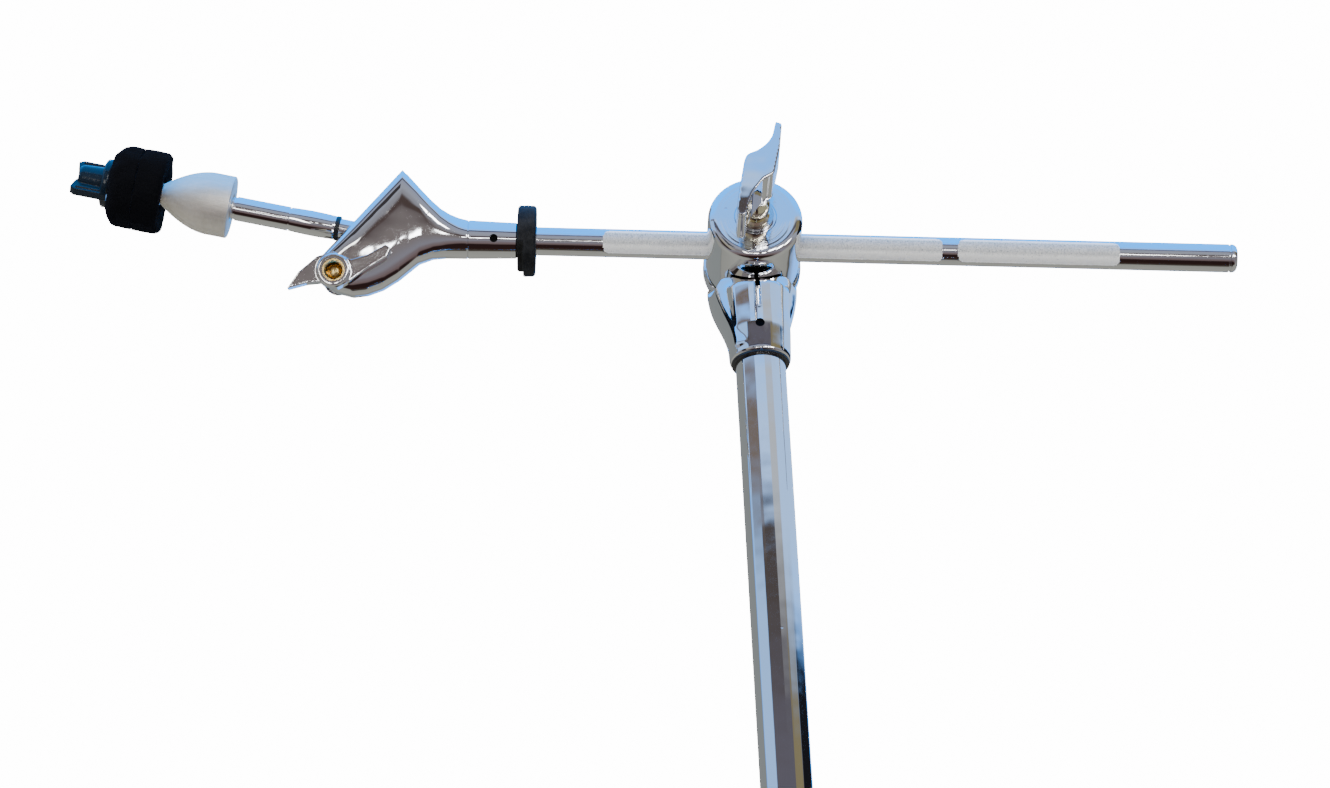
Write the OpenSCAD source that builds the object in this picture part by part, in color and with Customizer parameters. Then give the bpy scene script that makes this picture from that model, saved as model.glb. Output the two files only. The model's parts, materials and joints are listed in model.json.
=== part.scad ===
// Cymbal boom stand: a folding tripod, three telescoping tubes, a friction drum that tilts and
// grips the boom, and a knuckle at the boom's end that holds the cymbal post.
// +Z is up, the floor is z = 0, and the origin is on the axis of the tubes.
// The boom lies in the XZ plane with the cymbal end towards -X, and the wing nuts face -Y.

/* [Heights] */
// Height of the boom's axis over the floor, where it crosses the tubes' axis
boom_height = 1100; // [1060:5:1150]
// Height of the top of the base tube
base_tube_top = 530; // [500:5:560]
// Height of the top of the middle tube
mid_tube_top = 725; // [700:5:760]
// Height of the leg pivots
leg_pivot_z = 330; // [320:1:340]

/* [Tubes] */
// Outer radius of the base tube
base_tube_r = 14.3; // [14.3:0.1:14.3]
// Outer radius of the middle tube
mid_tube_r = 12.7; // [12.7:0.1:12.7]
// Outer radius of the top tube
top_tube_r = 11.1; // [11.1:0.1:11.1]
// Wall of every tube
tube_wall = 1.35; // [1.35:0.05:1.35]

/* [Tripod] */
// Angle of a spread leg from the vertical
leg_spread = 41; // [38:1:44]
// Distance of the leg pivots from the tubes' axis
leg_pivot_r = 29; // [29:1:31]
// Distance from a leg's pivot to its brace's pivot, which is also the brace's length
brace_len = 155.7; // [150:0.1:158]
// Width of the leg straps
leg_strap_w = 16; // [14:1:18]
// Width of the brace straps
brace_strap_w = 12; // [10:1:13]
// Thickness of the straps
strap_t = 2; // [1.5:0.5:2]

/* [Boom] */
// Radius of the boom rod
rod_r = 6.35; // [6.35:0.05:6.35]
// Length of the rod on the tail side of the tubes' axis
rod_tail = 216; // [180:1:260]
// Distance from the tubes' axis to the shallow groove that ends the rod's knurling
knurl_end = 163.2; // [160:0.1:168]
// Fall of the boom towards its tail, in degrees
boom_fall = 3.4; // [0:0.1:20]
// Roll of the boom about its own axis, which turns the knuckle's face down
boom_roll = 24; // [0:1:40]
// Radius of the friction drum that grips the rod
drum_r = 21; // [20:0.5:22]

/* [Knuckle and post] */
// Distance along the boom from the tubes' axis to the knuckle
knuckle_x = 127.6; // [125:0.1:140]
// Width of the knuckle over its cheeks
knuckle_w = 20; // [19:0.5:22]
// Width of the slot between the cheeks
slot_w = 11.8; // [11.8:0.1:12.2]
// Rise of the post over the boom's line, in degrees
post_rise = 9.7; // [0:0.1:30]
// Radius of the cymbal seat
seat_r = 14; // [12:0.5:15]
// Radius of the felts
felt_r = 18; // [16:0.1:20]

/* [Hidden] */
$fn = 48;
run_gap = 0.05;                 // radial clearance of a running fit
fine = 0.01;                    // extra length that makes a cut go right through

base_bore_r = base_tube_r - tube_wall;
mid_bore_r = mid_tube_r - tube_wall;
top_bore_r = top_tube_r - tube_wall;
base_tube_low = 12;
mid_tube_low = 132;
top_tube_low = 442;
guide_flange_h = 10;
guide_shank_h = 26;

leg_azimuths = [180, 60, 300];
foot_z = 13;
leg_len = (leg_pivot_z - foot_z) / cos(leg_spread);
runner_z = leg_pivot_z - 2 * brace_len * cos(leg_spread);
leg_strap_y = 7.5;              // middle of each leg strap, either side of the leg's plane
brace_strap_y = 4.9;            // middle of each brace strap, inside the leg straps
rivet_r = 3;
rivet_head_r = 5;
collar_r = 20;
collar_h = 34;
leg_lug_w = 12.6;
runner_lug_w = 7.4;
foot_ball_r = 14;
foot_sleeve_r = 12;
foot_plug_r = 7.2;

clamp_over = 22;                // how far a height clamp stands over the tube that carries it
clamp_h = 52;
clamp_wall = 4.2;
clamp_bolt_out = 11.2;          // from a tube's surface to its clamp's bolt
runner_bolt_x = 41;
clamp_ear_w = 19;
clamp_slit = 2.4;
wing_bolt_r = 3;

sleeve_r = 14.5;
sleeve_low = 60;                // the boom clamp's sleeve, measured down from the boom's axis
sleeve_top = 24.6;
drum_front = 26;
drum_back = 14;
disc_r = 22;
disc_front = 15.5;
disc_back = 25;
pivot_r = 10;
stud_r = 4;
stud_end = 62;
boom_wing_front = 67;

ring_low = 96.8;                // the stop ring's two faces, measured along the boom
ring_high = 105.3;
ring_r = 15.9;
neck_r = 8.7;

slot_floor = [-11, -35.3];      // height of the slot's floor at the web and 90 mm from the root
pin_u = 36.6;                   // the post's pivot, along the boom from the knuckle's root
tongue_r = 8.8;
tongue_t = 11.4;
pin_r = 4;
bolt_u = 57.5;                  // the knuckle's clamp bolt
bolt_v = -18;
knuckle_bolt_r = 3.5;

// Distances along the post from its pivot
post_ring_s = 20.6;
post_sleeve_s = 22.4;
post_bar_s = 43.6;
seat_s = 67.5;
seat_round_s = 80;
seat_tip_s = 101.6;
felt_s = 99.4;
felt_mid_s = 112;
felt_end_s = 124.5;
post_end_s = 138;
nut_end_s = 141.5;
post_r = 5.4;
thread_r = 3.9;

// Outline of the knuckle: x is the distance from its root, y is over the boom's axis
knuckle_outline = [
    [0, 8.7], [7.6, 11.4], [12, 14], [16.5, 18.4], [29.4, 30.5], [65.6, -10.9],
    [67.6, -15.5], [66.6, -20.5], [62.8, -23.2], [57.5, -25.2], [50, -27.2], [43.3, -26.3],
    [36.6, -24], [29.9, -20], [25.4, -15.6], [21, -11.4], [15, -8.9], [0, -8.7]
];

// Half of a wing's outline seen along its bolt: the other half is the same, turned about
wing_outline = [
    [6.8, 23.9], [9.7, 22], [8.8, 12.6], [6, -3.8], [0.2, -8.3], [-3.2, -11.8], [-6.8, -16]
];

// ---------- Shapes that repeat ----------

// Cylinders along X and Y between two stations
module xcyl(r, x0, x1) { translate([x0, 0, 0]) rotate([0, 90, 0]) cylinder(r = r, h = x1 - x0); }
module ycyl(r, y0, y1) { translate([0, y0, 0]) rotate([-90, 0, 0]) cylinder(r = r, h = y1 - y0); }

// An outline in X and Z, given thickness along Y about the middle plane
module upright(t) { rotate([90, 0, 0]) linear_extrude(height = t, center = true) children(); }

module pair(y) { for (side = [-1, 1]) translate([0, side * y, 0]) children(); }

module pipe(r, bore, z0, z1) {
    difference() {
        translate([0, 0, z0]) cylinder(r = r, h = z1 - z0);
        translate([0, 0, z0 - fine]) cylinder(r = bore, h = z1 - z0 + 2 * fine);
    }
}

// A flat bar with round ends that runs along +X from its first hole
module strap_outline(len, w) {
    circle(d = w);
    translate([len, 0]) circle(d = w);
    translate([0, -w / 2]) square([len, w]);
}

// The two-armed grip of a wing nut or bolt: its back is z = 0 and it faces +Z
module wing_grip(depth, tip_depth, scale_up) {
    half = 26 * scale_up;
    flank = 6 * scale_up;
    outline = [for (p = wing_outline) p * scale_up];
    full = concat(outline, [for (p = outline) -p]);
    intersection() {
        linear_extrude(height = depth) polygon(full);
        rotate([90, 0, 90]) linear_extrude(height = 2 * half, center = true)
            polygon([[-flank, 0], [flank, 0], [half, depth - tip_depth], [half, depth],
                [-half, depth], [-half, depth - tip_depth]]);
    }
}

// A screw with a wing grip, along Y, whose grip starts at y = -reach
module wing_bolt(reach, tail, size) {
    hub_h = 21;
    grip_h = 11;
    union() {
        ycyl(wing_bolt_r, -reach, tail);
        translate([0, -reach, 0]) rotate([90, 0, 0]) {
            cylinder(r1 = 6.5, r2 = 5, h = hub_h);
            translate([0, 0, hub_h - grip_h]) rotate([0, 0, 35]) wing_grip(grip_h, 7, size);
        }
    }
}

// A split clamp about the Z axis, from z = 0, with its ears towards +X and its bolt at bolt_x
module split_clamp(outer, bore, h, bolt_x) {
    ear_r = 13;
    ear_x = bolt_x - 4;
    difference() {
        union() {
            cylinder(r = outer, h = h);
            translate([0, 0, h / 2]) upright(clamp_ear_w) {
                translate([0, -ear_r]) square([ear_x, 2 * ear_r]);
                translate([ear_x, 0]) circle(r = ear_r);
            }
        }
        translate([0, 0, -fine]) cylinder(r = bore, h = h + 2 * fine);
        translate([0, -clamp_slit / 2, -fine]) cube([bolt_x + ear_r, clamp_slit, h + 2 * fine]);
        translate([bolt_x, 0, h / 2]) ycyl(wing_bolt_r + run_gap, -clamp_ear_w, clamp_ear_w);
    }
}

// ---------- Frames ----------

module leg_frame(i) { rotate([0, 0, leg_azimuths[i]]) children(); }
module along_leg(i) {
    leg_frame(i) translate([leg_pivot_r, 0, leg_pivot_z]) rotate([0, 90 - leg_spread, 0]) children();
}
module along_brace(i) {
    leg_frame(i) translate([leg_pivot_r, 0, runner_z]) rotate([0, leg_spread - 90, 0]) children();
}
module clamp_frame() { translate([0, 0, boom_height]) children(); }
module boom_frame() { clamp_frame() rotate([0, boom_fall, 0]) children(); }

// X runs from the knuckle's root towards the cymbal, and Z is up across the cheeks
module knuckle_frame() {
    boom_frame() translate([-knuckle_x, 0, 0]) rotate([boom_roll, 0, 0]) mirror([1, 0, 0]) children();
}
module post_frame() {
    knuckle_frame() translate([pin_u, 0, 0]) rotate([0, -post_rise, 0]) children();
}

// ---------- Tubes ----------

module base_tube() { color("silver") pipe(base_tube_r, base_bore_r, base_tube_low, base_tube_top); }

module base_plug() {
    color([0.08, 0.08, 0.08]) {
        translate([0, 0, base_tube_low - 4]) cylinder(r = base_tube_r, h = 4);
        translate([0, 0, base_tube_low - fine]) cylinder(r = base_bore_r - run_gap, h = 12);
    }
}

module middle_tube() { color("silver") pipe(mid_tube_r, mid_bore_r, mid_tube_low, mid_tube_top); }

module top_tube() {
    color("silver")
        pipe(top_tube_r, top_bore_r, top_tube_low, boom_height - sleeve_top - 2);
}

// A nylon guide: its shank turns in the inner tube's end and its flange slides in the outer tube
module tube_guide(shank, flange, tube_low) {
    color([0.1, 0.1, 0.1]) difference() {
        union() {
            translate([0, 0, tube_low - guide_flange_h]) cylinder(r = flange - run_gap, h = guide_flange_h);
            translate([0, 0, tube_low - fine]) cylinder(r = shank - run_gap, h = guide_shank_h);
        }
        translate([0, 0, tube_low - guide_flange_h - fine])
            cylinder(r = shank - 3, h = guide_flange_h + guide_shank_h + 1);
    }
}
module middle_guide() { tube_guide(mid_bore_r, base_bore_r, mid_tube_low); }
module top_guide() { tube_guide(top_bore_r, mid_bore_r, top_tube_low); }

// ---------- Height clamps ----------

module height_clamp(tube_r, tube_top) {
    color("silver") translate([0, 0, tube_top + clamp_over - clamp_h])
        split_clamp(tube_r + clamp_wall, tube_r + fine, clamp_h, tube_r + clamp_bolt_out);
}
module clamp_bush(tube_r, inner_r, tube_top) {
    color([0.07, 0.07, 0.07]) difference() {
        union() {
            translate([0, 0, tube_top + fine]) cylinder(r = tube_r, h = clamp_over);
            translate([0, 0, tube_top + clamp_over]) cylinder(r = tube_r + 1.8, h = 2.5);
        }
        translate([0, 0, tube_top - 1]) cylinder(r = inner_r + run_gap, h = clamp_over + 5);
    }
}
module height_wing_bolt(tube_r, tube_top) {
    color("silver") translate([tube_r + clamp_bolt_out, 0, tube_top + clamp_over - clamp_h / 2])
        wing_bolt(clamp_ear_w / 2 + 0.1, clamp_ear_w / 2 + 3, 0.78);
}
module lower_clamp() { height_clamp(base_tube_r, base_tube_top); }
module lower_bush() { clamp_bush(base_tube_r, mid_tube_r, base_tube_top); }
module lower_wing_bolt() { height_wing_bolt(base_tube_r, base_tube_top); }
module upper_clamp() { height_clamp(mid_tube_r, mid_tube_top); }
module upper_bush() { clamp_bush(mid_tube_r, top_tube_r, mid_tube_top); }
module upper_wing_bolt() { height_wing_bolt(mid_tube_r, mid_tube_top); }

// ---------- Tripod ----------

// The three lugs of a collar, drilled for their rivets
module lugs(w, z) {
    for (i = [0:2]) leg_frame(i) translate([0, 0, z]) difference() {
        upright(w) {
            translate([collar_r - 3, -7]) square([leg_pivot_r - collar_r + 3, 14]);
            translate([leg_pivot_r, 0]) circle(r = 7);
        }
        translate([leg_pivot_r, 0, 0]) ycyl(rivet_r + fine, -10, 10);
    }
}

module leg_collar() {
    color("silver") difference() {
        union() {
            translate([0, 0, leg_pivot_z - 16]) cylinder(r = collar_r, h = 30);
            lugs(leg_lug_w, leg_pivot_z);
        }
        translate([0, 0, leg_pivot_z - 20]) cylinder(r = base_tube_r + fine, h = 40);
    }
}

// Headed rivets through the lugs, at the given height and half-spread of their straps
module rivets(z, half) {
    color([0.75, 0.76, 0.78]) for (i = [0:2])
        leg_frame(i) translate([leg_pivot_r, 0, z]) {
            ycyl(rivet_r, -half - 1.5, half + 1.5);
            pair(half + 0.95) ycyl(rivet_head_r, -0.75, 0.75);
        }
}
module leg_rivets() { rivets(leg_pivot_z, leg_strap_y + strap_t / 2); }
module brace_rivets() { rivets(runner_z, brace_strap_y + strap_t / 2); }

module leg(i) {
    strap_end = leg_len - 38;
    spacers = [brace_len - 80, brace_len + 105, brace_len + 190];
    half = leg_strap_y + strap_t / 2;
    color("silver") along_leg(i) {
        pair(leg_strap_y) difference() {
            upright(strap_t) strap_outline(strap_end, leg_strap_w);
            ycyl(rivet_r + run_gap, -strap_t, strap_t);
        }
        for (s = spacers) translate([s, 0, 0]) ycyl(rivet_r, -half - 1, half + 1);
        translate([brace_len, 0, 0]) pair(half + 0.7) ycyl(rivet_head_r, -0.9, 0.9);
        intersection() {
            xcyl(foot_plug_r, strap_end - 12, leg_len - 4);
            translate([strap_end - 20, -foot_plug_r, -20]) cube([80, 2 * foot_plug_r, 40]);
        }
    }
}

module foot(i) {
    color([0.06, 0.06, 0.06]) intersection() {
        along_leg(i) difference() {
            union() {
                xcyl(foot_sleeve_r, leg_len - 28, leg_len);
                translate([leg_len, 0, 0]) sphere(r = foot_ball_r);
            }
            xcyl(foot_plug_r + fine, leg_len - 40, leg_len - 3.9);
        }
        translate([0, 0, 100]) cube([900, 900, 200], center = true);
    }
}

module leg_runner() {
    bore = base_tube_r + run_gap;
    color("silver") {
        difference() {
            lugs(runner_lug_w, runner_z);
            cylinder(r = collar_r - 1, h = boom_height);
        }
        translate([0, 0, runner_z - collar_h / 2]) split_clamp(collar_r, bore, collar_h, runner_bolt_x);
    }
}
module runner_wing_bolt() {
    color("silver") translate([runner_bolt_x, 0, runner_z])
        wing_bolt(clamp_ear_w / 2 + 0.1, clamp_ear_w / 2 + 3, 0.6);
}

module brace(i) {
    color("silver") along_brace(i) {
        pair(brace_strap_y) difference() {
            upright(strap_t) strap_outline(brace_len, brace_strap_w);
            ycyl(rivet_r + run_gap, -strap_t, strap_t);
        }
        for (s = [brace_len / 2, brace_len]) translate([s, 0, 0])
            ycyl(rivet_r, -brace_strap_y - strap_t / 2, brace_strap_y + strap_t / 2);
    }
}

// ---------- Boom clamp ----------

// The sleeve on the top tube, the disc behind the drum, and the cast web that joins them
module boom_clamp_body() {
    color("silver") clamp_frame() difference() {
        union() {
            translate([0, 0, -sleeve_low]) cylinder(r = sleeve_r, h = sleeve_low - sleeve_top);
            ycyl(disc_r, disc_front, disc_back);
            hull() {
                translate([0, 0, -sleeve_low + 3]) cylinder(r = sleeve_r, h = 6);
                translate([0, 0, -3]) ycyl(disc_r - 2, disc_front, disc_back - 1);
            }
        }
        ycyl(drum_r + 0.8, -40, disc_front);
        ycyl(pivot_r + run_gap, -40, 40);
        translate([0, 0, -sleeve_low - 1]) cylinder(r = top_tube_r + fine, h = sleeve_low - sleeve_top - 1);
        translate([-1.1, -sleeve_r - 1, -38]) cube([2.2, sleeve_r, 20]);
        translate([0, 0, -47]) ycyl(2 + fine, -sleeve_r - 1, 0);
    }
}
module clamp_set_screw() {
    color([0.15, 0.15, 0.15]) clamp_frame() translate([0, 0, -47])
        ycyl(2, -sleeve_r + 1.2, -top_tube_r - 0.05);
}
module tube_ring() {
    color([0.05, 0.05, 0.05])
        translate([0, 0, boom_height - sleeve_low - 1.65]) pipe(sleeve_r - 0.8, top_tube_r + fine, 0, 1.6);
}

// The drum is turned about Y, with a rounded front edge, and drilled across for the rod
module tilt_drum() {
    edge = 3.9;
    color("silver") boom_frame() difference() {
        rotate([-90, 0, 0]) rotate_extrude() {
            translate([0, -drum_front]) square([drum_r - edge, drum_front + drum_back]);
            translate([0, -drum_front + edge]) square([drum_r, drum_front + drum_back - edge]);
            translate([drum_r - edge, -drum_front + edge]) circle(r = edge);
        }
        xcyl(rod_r + run_gap, -drum_r - 5, drum_r + 5);
        ycyl(pivot_r + fine, -12, drum_back + 1);
        ycyl(stud_r + fine, -drum_front - 1, 0);
    }
}
module drum_gasket() {
    color([0.05, 0.05, 0.05]) boom_frame() difference() {
        ycyl(drum_r - 1, drum_back, disc_front - 0.1);
        ycyl(pivot_r + fine, 0, disc_back);
    }
}
module pivot_bolt() {
    color([0.7, 0.71, 0.73]) boom_frame() difference() {
        union() {
            ycyl(pivot_r, -11.5, disc_back + 1);
            ycyl(pivot_r + 4, disc_back + 0.1, disc_back + 4);
            ycyl(stud_r, -stud_end, -11);
        }
        xcyl(rod_r + run_gap, -30, 30);
    }
}
module drum_washer() {
    color([0.75, 0.76, 0.78]) boom_frame() difference() {
        ycyl(8, -drum_front - 2, -drum_front);
        ycyl(stud_r + fine, -40, 0);
    }
}
module boom_wing_nut() {
    color("silver") boom_frame() difference() {
        union() {
            ycyl(6.5, -boom_wing_front, -drum_front - 2.1);
            ycyl(7.5, -drum_front - 6, -drum_front - 2.1);
            translate([0, -boom_wing_front + 23, 0]) rotate([90, 0, 0]) wing_grip(23, 19, 1);
        }
        ycyl(stud_r + run_gap, -stud_end - 1, 0);
    }
}

// ---------- Boom ----------

module boom_rod() {
    tip = 2;
    color([0.78, 0.8, 0.83]) boom_frame() {
        xcyl(rod_r, -knuckle_x - 4, knurl_end);
        xcyl(rod_r - 0.25, knurl_end - fine, knurl_end + 0.8 + fine);
        xcyl(rod_r, knurl_end + 0.8, rod_tail - tip);
        translate([rod_tail - tip, 0, 0]) rotate([0, 90, 0]) cylinder(r1 = rod_r, r2 = rod_r - tip, h = tip);
    }
}
module stop_ring() {
    color([0.05, 0.05, 0.05]) boom_frame() difference() {
        xcyl(ring_r, -ring_high + 0.05, -ring_low);
        xcyl(rod_r + run_gap, -ring_high - 1, 0);
        translate([-ring_high - 1, -20, -30]) cube([3.8, 40, 22]);
    }
}

// ---------- Knuckle ----------

module knuckle_body() {
    root = knuckle_x - ring_high;
    web_u = pin_u - tongue_r - 0.3;
    color("silver") knuckle_frame() difference() {
        union() {
            translate([-root, 0, 0]) rotate([0, 90, 0])
                cylinder(r1 = neck_r - 0.7, r2 = neck_r, h = root + fine);
            intersection() {
                upright(knuckle_w) polygon(knuckle_outline);
                linear_extrude(height = 100, center = true)
                    polygon([[0, -neck_r], [14, -12], [80, -12], [80, 12], [14, 12], [0, neck_r]]);
            }
        }
        upright(slot_w) polygon([[web_u, slot_floor[0]], [web_u, 50], [90, 50], [90, slot_floor[1]]]);
        xcyl(rod_r + fine, -root - 1, 4.5);
        translate([pin_u, 0, 0]) ycyl(pin_r + fine, -knuckle_w / 2 + 1.5, 20);
        translate([bolt_u, 0, bolt_v]) ycyl(knuckle_bolt_r + fine, -20, 20);
        translate([-12, 0, 0]) ycyl(1.8 + fine, -20, 0);
    }
}
module knuckle_set_screw() {
    color([0.15, 0.15, 0.15]) knuckle_frame() translate([-12, 0, 0]) ycyl(1.8, -7.3, -rod_r - 0.05);
}
module knuckle_pin() {
    color([0.75, 0.76, 0.78]) knuckle_frame() translate([pin_u, 0, 0])
        ycyl(pin_r, -knuckle_w / 2 + 1.6, knuckle_w / 2);
}
module knuckle_bolt() {
    color([0.75, 0.76, 0.78]) knuckle_frame() translate([bolt_u, 0, bolt_v]) {
        ycyl(knuckle_bolt_r, -20, knuckle_w / 2 + 1);
        ycyl(7, knuckle_w / 2 + 0.05, knuckle_w / 2 + 4);
    }
}
module knuckle_wing_nut() {
    start = knuckle_w / 2 + 0.1;
    color("silver") knuckle_frame() translate([bolt_u, 0, bolt_v]) difference() {
        union() {
            ycyl(7, -start - 17, -start);
            translate([0, -start - 2, 0]) rotate([90, 0, 0]) rotate([0, 0, -95]) wing_grip(14, 8, 0.96);
        }
        ycyl(knuckle_bolt_r + run_gap, -60, 0);
        ycyl(5, -60, -start - 8);
    }
}

// ---------- Cymbal post ----------

module cymbal_post() {
    color("silver") post_frame() difference() {
        union() {
            ycyl(tongue_r, -tongue_t / 2, tongue_t / 2);
            xcyl(post_r - 0.8, 0, post_bar_s);
            xcyl(post_r, post_bar_s - fine, seat_s);
            xcyl(thread_r, seat_s - fine, post_end_s);
        }
        ycyl(pin_r + run_gap, -20, 20);
    }
}

// A ring turned about the post's axis from an outline of [distance along it, radius] points
module post_ring_of(points, bore) {
    rotate([0, 90, 0]) rotate_extrude() difference() {
        polygon([for (p = points) [p[1], p[0]]]);
        translate([-50, 0]) square([50 + bore, 200]);
    }
}

module post_ring() {
    color([0.04, 0.04, 0.04]) post_frame()
        post_ring_of([[post_ring_s, 0], [post_ring_s, 5.5], [post_sleeve_s, 5.5], [post_sleeve_s, 0]],
            post_r - 0.8 + fine);
}
module post_sleeve() {
    end = post_bar_s - 2 * fine;
    span = end - post_sleeve_s;
    belly = [for (k = [0:8]) [post_sleeve_s + span * k / 8, 5.3 + 0.35 * sin(180 * k / 8)]];
    color("silver") post_frame()
        post_ring_of(concat([[post_sleeve_s, 0]], belly, [[end, 0]]), post_r - 0.8 + fine);
}

function seat_radius(s) = s < seat_round_s ? seat_r
    : seat_r * (1 - pow((s - seat_round_s) / (seat_tip_s + 0.4 - seat_round_s), 1.8)) + 0.3;

module cymbal_seat() {
    nose = [for (k = [0:12]) let (s = seat_round_s + (seat_tip_s - 1 - seat_round_s) * k / 12)
        [s, max(seat_radius(s), thread_r + 0.4)]];
    color([0.8, 0.78, 0.74]) post_frame()
        post_ring_of(concat([[seat_s, 0], [seat_s, seat_r - 0.4], [seat_s + 0.4, seat_r]], nose,
            [[seat_tip_s, thread_r + 0.3], [seat_tip_s, 0]]), thread_r + fine);
}
module nylon_sleeve() {
    color([0.08, 0.08, 0.08]) post_frame()
        post_ring_of([[seat_tip_s, 0], [seat_tip_s, 5], [felt_end_s, 5], [felt_end_s, 0]],
            thread_r + fine);
}
module lower_felt() {
    dish = 3;
    color([0.03, 0.03, 0.03]) post_frame() difference() {
        post_ring_of([[felt_s, 0], [felt_s, felt_r - 3], [felt_s + 3, felt_r], [felt_mid_s - 2, felt_r],
            [felt_mid_s - 0.05, felt_r - 1.5], [felt_mid_s - 0.05, 0]], 5 + fine);
        translate([felt_s - fine, 0, 0]) rotate([0, 90, 0]) cylinder(r1 = 8.5, r2 = 5, h = dish);
    }
}
module upper_felt() {
    color([0.03, 0.03, 0.03]) post_frame()
        post_ring_of([[felt_mid_s, 0], [felt_mid_s, felt_r - 0.6], [felt_mid_s + 2, felt_r - 0.6],
            [felt_end_s - 3.5, felt_r - 3], [felt_end_s, felt_r - 6.5], [felt_end_s, 0]], 5 + fine);
}

// The plastic wing nut that holds the cymbal down
module cymbal_nut() {
    wing_half = 11;
    face_s = felt_end_s + 0.05;
    color([0.04, 0.04, 0.05]) post_frame() difference() {
        union() {
            xcyl(11, face_s, face_s + 3);
            xcyl(6.8, face_s, nut_end_s - 3);
            rotate([55, 0, 0]) upright(4) polygon([[face_s, -wing_half], [nut_end_s - 2, -wing_half],
                [nut_end_s, -wing_half + 2], [nut_end_s - 2, 0], [nut_end_s, wing_half - 2],
                [nut_end_s - 2, wing_half], [face_s, wing_half]]);
        }
        xcyl(thread_r + run_gap, face_s - 1, nut_end_s + 1);
    }
}

// ---------- Nodes ----------

base_tube();
base_plug();
leg_collar();
leg_rivets();
leg(0);  // leg_1
leg(1);  // leg_2
leg(2);  // leg_3
foot(0);  // foot_1
foot(1);  // foot_2
foot(2);  // foot_3
leg_runner();
brace_rivets();
brace(0);  // brace_1
brace(1);  // brace_2
brace(2);  // brace_3
runner_wing_bolt();
lower_clamp();
lower_bush();
lower_wing_bolt();
middle_guide();
middle_tube();
upper_clamp();
upper_bush();
upper_wing_bolt();
top_guide();
top_tube();
boom_clamp_body();
clamp_set_screw();
tube_ring();
tilt_drum();
drum_gasket();
pivot_bolt();
drum_washer();
boom_wing_nut();
stop_ring();
boom_rod();
knuckle_body();
knuckle_set_screw();
knuckle_pin();
knuckle_bolt();
knuckle_wing_nut();
cymbal_post();
post_ring();
post_sleeve();
cymbal_seat();
nylon_sleeve();
lower_felt();
upper_felt();
cymbal_nut();
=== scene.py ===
"""Cymbal boom stand: the looks. Metres, +Z up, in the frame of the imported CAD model."""
import json
import math
import bpy
import bmesh
from mathutils import Matrix, Vector, noise as space_noise


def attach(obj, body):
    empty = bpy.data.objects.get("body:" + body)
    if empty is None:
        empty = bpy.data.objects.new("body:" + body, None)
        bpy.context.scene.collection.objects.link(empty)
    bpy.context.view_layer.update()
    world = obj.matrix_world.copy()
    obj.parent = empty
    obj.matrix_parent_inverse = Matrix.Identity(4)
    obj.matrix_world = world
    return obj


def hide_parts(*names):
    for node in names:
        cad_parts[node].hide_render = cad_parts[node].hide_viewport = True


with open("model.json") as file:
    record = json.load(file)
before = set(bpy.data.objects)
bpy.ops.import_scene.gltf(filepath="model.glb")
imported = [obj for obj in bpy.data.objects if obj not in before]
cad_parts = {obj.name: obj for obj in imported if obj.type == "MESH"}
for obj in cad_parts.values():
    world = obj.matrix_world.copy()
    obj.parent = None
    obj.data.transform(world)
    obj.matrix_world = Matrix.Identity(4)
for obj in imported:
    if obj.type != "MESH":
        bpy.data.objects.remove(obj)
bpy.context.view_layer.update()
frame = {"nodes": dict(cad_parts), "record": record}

MM = 0.001


# ---------- Where things are, from the frame ----------

def joint(name):
    """The record's joint of a given name."""
    return next(j for j in frame["record"]["behaviour"]["joints"] if j["name"] == name)


def axes(x_axis, near_y):
    """A right-handed frame's three axes from its X axis and roughly its Y axis."""
    x = Vector(x_axis).normalized()
    z = x.cross(Vector(near_y)).normalized()
    return x, z.cross(x), z


def frame_matrix(origin, x_axis, near_y):
    """The matrix from a local frame's millimetres to the CAD model's metres."""
    m = Matrix(axes(x_axis, near_y)).transposed().to_4x4()
    m.translation = Vector(origin)
    return m @ Matrix.Scale(MM, 4)


BOOM_ORIGIN = Vector(joint("boom_tilt")["pos_m"])
BOOM_AXIS = Vector(joint("boom_slide")["axis"])
KNUCKLE_Y = Vector(joint("post_swing")["axis"])
POST_PIVOT = Vector(joint("post_swing")["pos_m"])
POST_AXIS = Vector(joint("cymbal_nut_spin")["axis"])
KNUCKLE_BOLT = Vector(joint("knuckle_wing_nut_spin")["pos_m"])

CLAMP = frame_matrix(BOOM_ORIGIN, (1, 0, 0), (0, 1, 0))
BOOM = frame_matrix(BOOM_ORIGIN, BOOM_AXIS, (0, 1, 0))
# The knuckle's and the post's X axes run towards the cymbal, and their Y axes point at the front
KNUCKLE = frame_matrix(POST_PIVOT, -BOOM_AXIS, -KNUCKLE_Y)
POST = frame_matrix(POST_PIVOT, POST_AXIS, -KNUCKLE_Y)
# Turned shapes are made round the local X axis, and these stand them along Y or Z
X_TO_Y = Matrix.Rotation(math.radians(90), 4, "Z")
X_TO_Z = Matrix.Rotation(math.radians(-90), 4, "Y")


# ---------- Camera, light and floor ----------

# The camera stands a little left of the front and well below its aim, and looks up
SENSOR_MM = 36
LENS_MM = 120.613534
CAMERA_TURN = math.radians(-2.56)
CAMERA_RISE = math.radians(-29.04)
CAMERA_ROLL = math.radians(-2.82)
CAMERA_DISTANCE = 1.95
AIM = Vector((-0.0426, 0.0, 1.0261))


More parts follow.
